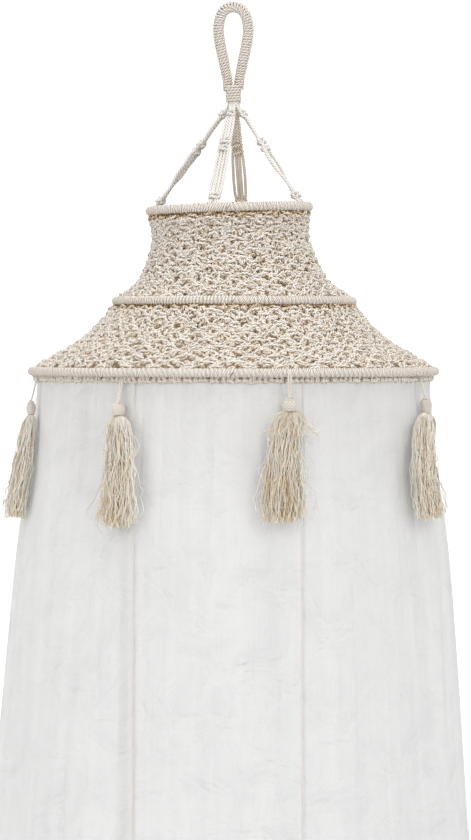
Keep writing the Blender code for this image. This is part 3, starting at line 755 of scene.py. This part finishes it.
straps = (        # angle as the solids; stations: place along, half-width, gap of the inner pair, roll about its line
    Settings(node="strap_front", angle=-12, stations=(
        (0.06, 0.0044, 0.34, 0), (0.16, 0.0050, 0.34, 2), (0.40, 0.0060, 0.34, 4), (0.62, 0.0062, 0.34, 5),
        (0.82, 0.0068, 0.34, 6), (0.92, 0.0068, 0.34, 4))),
    Settings(node="strap_right", angle=66, stations=(
        (0.06, 0.0036, 0.34, -10), (0.16, 0.0038, 0.34, -32), (0.36, 0.0044, 0.34, -28), (0.46, 0.0060, 0.50, 0),
        (0.56, 0.0058, 0.92, 10), (0.68, 0.0048, 0.90, 10), (0.80, 0.0040, 0.50, -24), (0.92, 0.0058, 0.34, -4))),
    # painted light and shade: this strap faces away from the key light, so it takes the lighter cottonCord and an even
    # tan painted shade
    Settings(node="strap_back", angle=171, shade=0.3, finish=cottonCord, stations=(
        (0.06, 0.0040, 0.34, 0), (0.16, 0.0044, 0.34, 0), (0.40, 0.0052, 0.34, 0), (0.52, 0.0066, 0.32, 0),
        (0.70, 0.0074, 0.28, 0), (0.84, 0.0070, 0.28, 0), (0.92, 0.0060, 0.32, 0))),
    Settings(node="strap_left", angle=-105, stations=(
        (0.06, 0.0038, 0.34, 6), (0.16, 0.0042, 0.34, 10), (0.36, 0.0048, 0.34, 2), (0.50, 0.0060, 0.34, 20),
        (0.66, 0.0058, 0.34, 14), (0.82, 0.0050, 0.34, -8), (0.92, 0.0050, 0.34, 4))),
)
strapShape = Settings(
    startRadius=0.0056, cord=0.00195, startGap=0.0026, hoopGap=0.0066, pinched=0.60, pressed=0.0008, loose=0.0006,
    seed=20, places=(0.07, 0.15, 0.25, 0.34, 0.42, 0.50, 0.58, 0.68, 0.78, 0.88, 0.95),
    knots=((0.085, 0.80), (0.375, 0.95), (0.45, 0.95), (0.93, 1.02)))


def strap(spec, knot, number):
    s = strapShape
    angle, finish = spec.angle, spec.get("finish", strapCotton)
    rng = random.Random(s.seed + number)
    hoop = hoops["top_ring"]
    neckFoot = loopShape.foot - loopShape.neckHeight
    start = around(angle, s.startRadius, neckFoot - 0.003)
    along = (hoopPoint(hoop, angle) - start).normalized()
    end = hoopPoint(hoop, angle) - along * (hoop.tube - 0.0005)
    across = around(angle + 90, 1.0, 0.0)
    out = across.cross(-along)

    def station(place):
        # middle, half-width, inner share and turned directions of the strap at a place along it
        table = spec.stations
        low = max([k for k, row in enumerate(table[:-1]) if row[0] <= place] or [0])
        a, b = table[low], table[low + 1]
        share = clipped((place - a[0]) / (b[0] - a[0]))
        half, inner, roll = (a[k] + (b[k] - a[k]) * share for k in (1, 2, 3))
        turn = math.radians(roll)
        side = across * math.cos(turn) + out * math.sin(turn)
        face = out * math.cos(turn) - across * math.sin(turn)
        return start.lerp(end, place), half, inner, side, face

    runs = []
    for cord in (-1.0, -0.5, 0.5, 1.0):
        aside = across * cord * s.startGap
        path = [around(angle, s.startRadius * 0.7, neckFoot + 0.006) + aside, start + aside]
        for place in s.places:
            middle, half, inner, side, face = station(place)
            atKnot = min(abs(place - k) for k, _ in s.knots) < 0.03
            offset = cord * half if abs(cord) == 1.0 else math.copysign(half * inner, cord)
            lift = face * (-s.pressed if atKnot else rng.uniform(-s.loose, s.loose))
            path.append(middle + side * offset * (s.pinched if atKnot else 1.0) + lift)
        turn = math.degrees(cord * s.hoopGap / hoop.radius)
        # over the top of the hoop and in under its winding
        for swing, wrap in ((105, hoop.tube - 0.0002), (140, hoop.tube - 0.0012), (180, hoop.tube - 0.0022)):
            lean = math.radians(swing)
            path.append(hoopPoint(hoop, angle + turn, wrap * math.cos(lean), wrap * math.sin(lean)))
        runs.append(evenPath(path, 40))
    cords = runCords("strapCords", runs, finish=finish, cord=s.cord, sides=7)
    places, sizes = [], []
    for place, width in s.knots:
        middle, _, _, side, face = station(place)
        places.append((middle, side, -along, face))
        sizes.append((width, 1.10, 1.45))
    knots = placeKnots("strapKnots", knot, places, sizes, finish=finish, seed=s.seed + number, turning=0.12)
    piece = joined(spec.node + "Cords", [cords, knots])
    # painted shade: each strap's shade value, evenly over all its cords
    mark(piece.data, "sunk", [spec.get("shade", 0.0)] * len(piece.data.vertices))
    settle(piece, spec.node)


netShape = Settings(
    thickness=0.0006, seamX=0.0806, frontEdgeX=-0.1330, wrapEdgeX=-0.1150, seamGap=0.0002, sink=0.0026, blend=5.0,
    frontColumns=58, wrapColumns=300, topRows=70, lowRows=46, topDrop=0.62, hemDepth=0.022, seamWidth=0.0062,
    edgeHem=0.010, nearness=1.047, puckers=120, pucker=0.0007, pressed=0.0016, skirtZ=-0.585, seed=12,
    profile=((0.2392, -0.4440), (0.2390, -0.4630), (0.2410, -0.4830), (0.2468, -0.5570), (0.2580, -0.6300),
             (0.2690, -0.7600), (0.2840, -0.9800), (0.3040, -1.3000), (0.3280, -1.7000), (0.3470, -2.0200),
             (0.3620, -2.2850)))
netFolds = (      # as the solid's: angle at the hoop and hem, half-width, height at the hem, z where it starts
    (-47, -51, 6.5, 0.024, -0.56), (-32, -38, 5.5, 0.020, -0.52), (6, -5, 7.5, 0.017, -0.60),
    (32, 25, 7.5, 0.022, -0.56), (72, 60, 8.0, 0.027, -0.48), (98, 101, 8.0, 0.024, -0.60),
    (133, 137, 10.0, 0.031, -0.55), (170, 165, 8.0, 0.022, -0.62), (205, 207, 11.0, 0.029, -0.55),
    (243, 241, 7.5, 0.021, -0.66), (276, 278, 8.5, 0.026, -0.50),
)
netCreases = (    # soft lines seen from the front: x and z of both ends, half-width, height (- is a trough)
    (-0.069, -0.5735, 0.030, -0.5640, 0.0022, -0.0010), (0.085, -0.7990, 0.148, -0.8340, 0.0045, 0.0016),
    (0.090, -0.8220, 0.140, -0.8300, 0.0035, -0.0012), (-0.155, -0.7160, -0.169, -0.8620, 0.0045, 0.0034),
    (-0.169, -0.8620, -0.179, -1.0300, 0.0050, 0.0042), (-0.185, -0.7650, -0.204, -0.8560, 0.0045, -0.0034),
    (-0.204, -0.8560, -0.214, -1.0300, 0.0050, -0.0040), (-0.141, -0.7890, -0.148, -0.9600, 0.0040, 0.0022),
    (0.016, -0.6700, -0.002, -1.0200, 0.0080, 0.0030), (0.008, -0.7200, -0.024, -0.7700, 0.0065, 0.0018),
    (0.005, -0.7900, -0.030, -0.8450, 0.0070, 0.0020), (0.002, -0.8700, -0.032, -0.9300, 0.0075, 0.0020),
    (0.142, -0.6450, 0.146, -1.0300, 0.0070, 0.0036), (0.243, -0.5700, 0.258, -1.0000, 0.0060, 0.0040),
    (-0.075, -0.6200, -0.083, -0.9800, 0.0120, 0.0014), (0.195, -0.6200, 0.205, -1.0200, 0.0100, 0.0026),
)
netPath = evenPath([(r, 0.0, z) for r, z in netShape.profile], 260)
netDrop, netReach = np.array([-p.z for p in netPath]), np.array([p.x for p in netPath])


def netRadius(z):
    return np.interp(-z, netDrop, netReach)


def foldHeight(angle, z):
    # the main folds, the same as in the solid
    hemZ = netShape.profile[-1][1]
    total = np.zeros_like(z)
    for top, hem, half, high, start in netFolds:
        fall = clipped((start - z) / (start - hemZ))
        centre = top + (hem - top) * smoothStep(1.6 * fall)
        away = (angle - centre + 180) % 360 - 180
        total += high * fall ** 0.8 * np.exp(-(away / half) ** 2)
    return total


def clothCreases(rng):
    # the creases with their x turned into the way round the cloth, and more of them for the sides and back
    made = []
    for ax, az, bx, bz, half, high in netCreases:
        ends = [r * math.asin(x / (r * netShape.nearness)) for r, x in ((netRadius(az), ax), (netRadius(bz), bx))]
        made.append((ends[0], az, ends[1], bz, half, high))
    for _ in range(46):
        side = rng.uniform(40, 320) if rng.random() < 0.7 else rng.uniform(-40, 40)
        z = rng.uniform(-0.6, -2.1) if side > 40 else rng.uniform(-1.1, -2.15)
        arc = math.radians((side + 180) % 360 - 180) * netRadius(z)
        length, tilt = rng.uniform(0.06, 0.22), rng.uniform(-0.5, 0.5)
        made.append((arc, z, arc + tilt * length, z - length, rng.uniform(0.005, 0.012), rng.uniform(-0.0026, 0.0034)))
    return made


def creaseHeight(angle, z, base, creases):
    # short creases, each a soft line between two points of the cloth
    arc = np.radians((angle + 180) % 360 - 180) * base
    total = np.zeros_like(z)
    for ax, az, bx, bz, half, high in creases:
        run = np.array((bx - ax, bz - az))
        held = clipped(((arc - ax) * run[0] + (z - az) * run[1]) / (run @ run))
        off = np.hypot(arc - ax - held * run[0], z - az - held * run[1])
        total += high * clipped(1.2 - np.abs(2 * held - 1)) * np.exp(-(off / half) ** 2)
    return total


def netWidth(name, node, firstX, lastX, columns, creases, other=None):
    # one width of cloth as a grid from hoop to hem; it is pressed in up to the other width's edge, where given
    s = netShape
    rows = s.topRows + s.lowRows
    top, hem = s.profile[0][1], s.profile[-1][1]
    upper = top - np.linspace(0.0, 1.0, s.topRows + 1) ** 1.15 * s.topDrop
    heights = np.concatenate((upper, np.linspace(upper[-1], hem, s.lowRows + 1)[1:]))
    base = netRadius(heights)
    first, last = np.degrees(np.arcsin(firstX / base)), np.degrees(np.arcsin(lastX / base))
    last = np.where(last < first, last + 360, last)
    angle = first[:, None] + (last - first)[:, None] * np.linspace(0.0, 1.0, columns + 1)[None, :]
    z = np.repeat(heights[:, None], columns + 1, axis=1)
    flat = np.repeat(base[:, None], columns + 1, axis=1)
    turn = np.radians(angle)
    folds = foldHeight(angle, z)
    radius = flat + folds + creaseHeight(angle, z, flat, creases)
    depth = clipped((top - z) / 0.25)
    rng = random.Random(s.seed)
    for _ in range(10):                                   # slow, shallow unevenness all over
        waves, rise, phase = rng.randint(3, 19), rng.uniform(-9, 9), rng.uniform(0, 6.28)
        size = rng.uniform(0.0003, 0.0010) * (1.3 if waves < 9 else 0.7)
        radius += size * depth * np.sin(turn * waves + z * rise + phase)
    gather = np.exp(-((z - top + 0.016) / 0.030) ** 2)    # small puckers where the net is sewn on
    radius += s.pucker * gather * np.sin(turn * s.puckers + 2.0 * np.sin(turn * 31))
    for spec in tassels:                                  # the skirts press the cloth in a little
        away = np.radians((angle - spec.angle + 180) % 360 - 180) * flat
        radius -= s.pressed * np.exp(-(away / 0.030) ** 2 - ((z - s.skirtZ) / 0.050) ** 2)
    thick = clipped(1.5 - np.abs(z - hem) / s.hemDepth)
    fromFirst, fromLast = np.radians(angle - first[:, None]) * flat, np.radians(last[:, None] - angle) * flat
    openSide = fromLast
    if other is not None:
        edge = np.degrees(np.arcsin(other / base))[:, None]
        radius -= s.sink * (1 - smoothStep((angle - edge - 1.0) / s.blend))
        thick = np.maximum(thick, clipped((s.seamWidth - fromLast) / 0.0015))
        openSide = fromFirst
    thick = np.maximum(thick, clipped((s.edgeHem - openSide) / 0.002))
    lifted = z + 0.2 * np.maximum(folds, 0.0)
    points = np.stack((radius * np.sin(turn), -radius * np.cos(turn), lifted), axis=-1).reshape(-1, 3)
    wide = columns + 1
    faces = [(k, k + wide, k + wide + 1, k + 1) for r in range(rows) for k in range(r * wide, r * wide + columns)]
    mesh = bpy.data.meshes.new(name)
    mesh.from_pydata(points.tolist(), [], faces)
    mark(mesh, "clothPlace", np.stack((turn * flat, lifted, np.zeros_like(z)), -1).reshape(-1), "FLOAT_VECTOR")
    mark(mesh, "doubled", thick.reshape(-1))
    mesh.materials.append(muslin)
    mesh.shade_smooth()
    piece = linked(name, mesh)
    solid = piece.modifiers.new("cloth thickness", "SOLIDIFY")
    solid.thickness = s.thickness
    solid.offset = -1.0
    settle(piece, node)
    return piece


tassels = (       # as the solids: angle, height of the head's top, length and swing of the skirt; mop: loose collar
    Settings(angle=-76, top=-0.4713, skirt=0.1220, swing=-0.002, mop=0, head=(0.0060, 0.0178)),
    Settings(angle=-32.4, top=-0.4716, skirt=0.1290, swing=0.010, mop=0, head=(0.0086, 0.0150)),
    Settings(angle=15, top=-0.4650, skirt=0.1260, swing=-0.012, mop=176, head=(0.0096, 0.0165), wide=1.28, root=0.46),
    Settings(angle=66.3, top=-0.4674, skirt=0.1230, swing=-0.034, mop=0, head=(0.0078, 0.0185), wide=1.60),
    Settings(angle=120, top=-0.4700, skirt=0.1250, swing=-0.003, mop=0, head=(0.0078, 0.0170)),
    Settings(angle=174, top=-0.4720, skirt=0.1270, swing=0.002, mop=56, head=(0.0082, 0.0160)),
    Settings(angle=229, top=-0.4690, skirt=0.1240, swing=0.000, mop=0, head=(0.0072, 0.0175)),
)
tasselShape = Settings(
    headOut=0.2513, headCord=0.0011, core=0.84, cord=0.00105, overHoop=3, tied=0.0015,
    skirt=Settings(yarns=380, lean=0.019, halfWidth=0.0212, halfDepth=0.0110, root=0.72, yarn=0.00040),
    mop=dict(length=0.029, lean=0.004, crimp=0.0140, stray=0.010, halfWidth=0.0225, halfDepth=0.0120,
             yarn=0.00040, root=0.7, shoulder=0.35, steps=16),
    head=((0.18, 0.04), (0.60, 0.12), (0.92, 0.32), (1.0, 0.55), (0.90, 0.80), (0.72, 1.0)),
    cordPath=((-0.0044, -0.4415), (-0.0016, -0.4435), (-0.0002, -0.4475), (0.0012, -0.4540)),
    overPath=((0.0030, -0.4356), (0.0064, -0.4372), (0.0072, -0.4418), (0.0072, -0.4478), (0.0066, -0.4548)))


def tassel(number, spec):
    s = tasselShape
    radius, height = spec.head
    bunches = [dict(s.skirt, length=spec.skirt + s.tied, swing=spec.swing, seed=number,
                    halfWidth=s.skirt.halfWidth * spec.get("wide", 1.0),
                    root=spec.get("root", s.skirt.root))]
    if spec.mop:
        bunches.append(dict(s.mop, yarns=spec.mop, seed=40 + number))
    parts = []
    for values in bunches:
        host = pathHost("skirt", [[(0, 0, 0), (0, 0, -0.001)]])
        parts.append(runTree(host, skirtYarns, "skirt", finish=tasselYarn, **values))
        parts[-1].data.transform(Matrix.Translation((0, 0, s.tied - height)))
    axis = evenPath([(share, 0.0, -down * height) for share, down in s.head], 60)
    widths = [p.x * radius - s.headCord for p in axis]
    parts.append(wind("head", [(0, 0, p.z) for p in axis], widths=widths, turns=9, finish=cottonCord, steps=14,
                      coil=1.0, cord=s.headCord, sides=6, wobble=0.0007))
    core = bmesh.new()
    bmesh.ops.create_uvsphere(core, u_segments=14, v_segments=9, radius=1.0)
    mesh = bpy.data.meshes.new("core")
    core.to_mesh(mesh)
    core.free()
    mesh.transform(Matrix.Translation((0, 0, -0.52 * height)) @ Matrix.Diagonal(
        (radius * s.core, radius * s.core, height * 0.5, 1.0)))
    mesh.materials.append(cottonCord)
    mesh.shade_smooth()
    parts.append(linked("core", mesh))
    piece = joined(f"tassel{number}", parts)
    turned = Matrix.Rotation(math.radians(spec.angle), 4, "Z")
    piece.data.transform(Matrix.Translation(around(spec.angle, s.headOut, spec.top)) @ turned)
    settle(piece, f"tassel_{number}")


def tasselCord(number, spec):
    # two cords from the edging to the head; one tassel's come out between the turns of the hoop's front
    s = tasselShape
    rims = s["overPath" if number == s.overHoop else "cordPath"]
    path = [around(spec.angle, hoops["bottom_ring"].radius + out, z) for out, z in rims]
    path.append(around(spec.angle, s.headOut, spec.top - 0.002))
    shares = [0.2, 0.7] + [1.0] * (len(path) - 4) + [0.8, 0.3]
    runs = []
    for side in (-0.0014, 0.0014):
        sideways = around(spec.angle + 90, side, 0.0)
        runs.append(evenPath([p + sideways * share for p, share in zip(path, shares)], 16))
    piece = runCords(f"tasselCord{number}", runs, cord=s.cord, sides=7)
    settle(piece, f"tassel_cord_{number}")


hangingLoop()
windHoops()
edgingRow()
print("loop and hoops wound")
knots = [squareKnot(hand) for hand in (1, -1)]
for band in crownBands:
    knottedBand(band, knots)
print("crown knotted")
for number, spec in enumerate(straps, 1):
    strap(spec, knots[0], number)
for knot in knots:
    bpy.data.objects.remove(knot)
print("straps hung")
for number, spec in enumerate(tassels, 1):
    tassel(number, spec)
    tasselCord(number, spec)
print("tassels tied")
creases = clothCreases(random.Random(netShape.seed))
netFront = netWidth("netFront", "net_front", netShape.frontEdgeX, netShape.seamX - netShape.seamGap,
                    netShape.frontColumns, creases, netShape.wrapEdgeX)
netWrap = netWidth("netWrap", "net_wrap", netShape.seamX + netShape.seamGap, netShape.wrapEdgeX,
                   netShape.wrapColumns, creases)
print("net hung")


studio = Settings(
    floorZ=-2.300, floorSize=7.0, floorColour=(0.82, 0.82, 0.81, 1), world=0.86, seen=1.30, aim=(0.0, 0.0, -0.55),
    lights=(("key", (1.9, -2.9, 1.5), 1.4, 34.0), ("fill", (-2.6, -2.2, 0.2), 2.0, 22.0),
            ("above", (0.2, -0.7, 2.4), 2.2, 24.0)))
photo = Settings(centreX=0.0025, cameraZ=-0.390, middleZ=-0.4966, distance=5.0, height=1.0244, sensor=36.0)


def buildStudio():
    s = studio
    half = s.floorSize / 2
    floorMesh = bpy.data.meshes.new("floor")
    floorMesh.from_pydata([(x, y, s.floorZ) for x, y in ((-half, -half), (half, -half), (half, half), (-half, half))],
                          [], [(0, 1, 2, 3)])
    pale, _, shader = newMaterial("paleFloor", 0.7, 0.5)
    shader.inputs["Base Color"].default_value = s.floorColour
    floorMesh.materials.append(pale)
    linked("floor", floorMesh)
    world = bpy.data.worlds.new("studio")
    bpy.context.scene.world = world
    world.use_nodes = True
    nodes = Nodes(world.node_tree)
    background = nodes.tree.nodes["Background"]
    background.inputs["Color"].default_value = (1.0, 1.0, 1.0, 1)
    seen = nodes.out("ShaderNodeLightPath", None, "Is Camera Ray").op(
        "MAXIMUM", nodes.out("ShaderNodeLightPath", None, "Is Transmission Ray"))
    nodes.put(seen * (s.seen - s.world) + s.world, background.inputs["Strength"])
    for name, place, size, power in s.lights:
        light = bpy.data.lights.new(name, "AREA")
        light.size = size
        light.energy = power
        lamp = linked(name, light)
        lamp.location = place
        lamp.rotation_euler = (Vector(s.aim) - Vector(place)).to_track_quat("-Z", "Y").to_euler()
    bpy.context.scene.view_settings.view_transform = "Standard"


def placeCamera():
    camera = bpy.data.cameras.new("photoView")
    camera.sensor_width = photo.sensor
    camera.lens = photo.sensor * photo.distance / photo.height
    camera.shift_y = (photo.middleZ - photo.cameraZ) / photo.height
    camera.clip_end = 50.0
    seat = linked("photoView", camera)
    seat.location = (photo.centreX, -photo.distance, photo.cameraZ)
    seat.rotation_euler = (math.radians(90), 0.0, 0.0)
    bpy.context.scene.camera = seat


buildStudio()
placeCamera()
